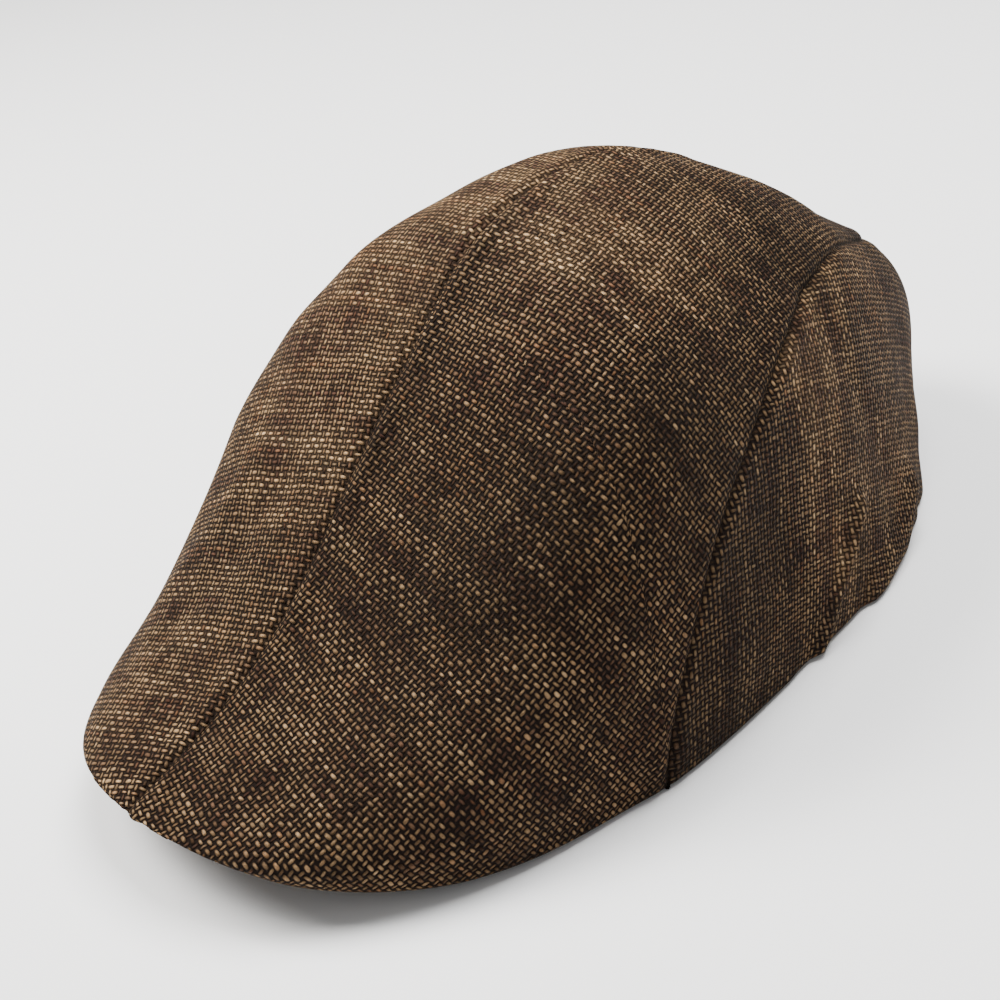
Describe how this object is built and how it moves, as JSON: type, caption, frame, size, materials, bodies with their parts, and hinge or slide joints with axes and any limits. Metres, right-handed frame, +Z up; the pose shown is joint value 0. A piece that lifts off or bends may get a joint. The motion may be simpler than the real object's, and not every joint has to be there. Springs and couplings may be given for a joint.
{
  "type": "newsboy cap",
  "caption": "Flat cap with a built-in duckbill, in coarse brown plain-weave cloth, lined, with a cotton sweatband gathered on elastic at the back.",
  "frame": {"origin": "middle of the footprint, on the plane that the cap's rim rests on", "axes": "+Z up, the bill points to -Y, the wearer's left is +X"},
  "size_m": [0.1564, 0.2839, 0.1233],
  "materials": {
    "woven_cloth": "matte",
    "lining_cloth": "satin",
    "band_cloth": "matte",
    "elastic": "matte",
    "bill_board": "matte",
    "label_cloth": "satin",
    "thread": "matte"
  },
  "bodies": {
    "root": {"top_panel_left": "woven_cloth", "top_panel_right": "woven_cloth", "side_panel_left": "woven_cloth", "side_panel_right": "woven_cloth", "underbill_cover": "woven_cloth", "bill_board": "bill_board", "lining_top_left": "lining_cloth", "lining_top_right": "lining_cloth", "lining_side_left": "lining_cloth", "lining_side_right": "lining_cloth", "sweatband_front": "band_cloth", "sweatband_back": "band_cloth", "back_elastic": "elastic", "size_label": "label_cloth", "care_label": "label_cloth", "band_stitches": "thread", "casing_stitches": "thread"}
  },
  "joints": []
}
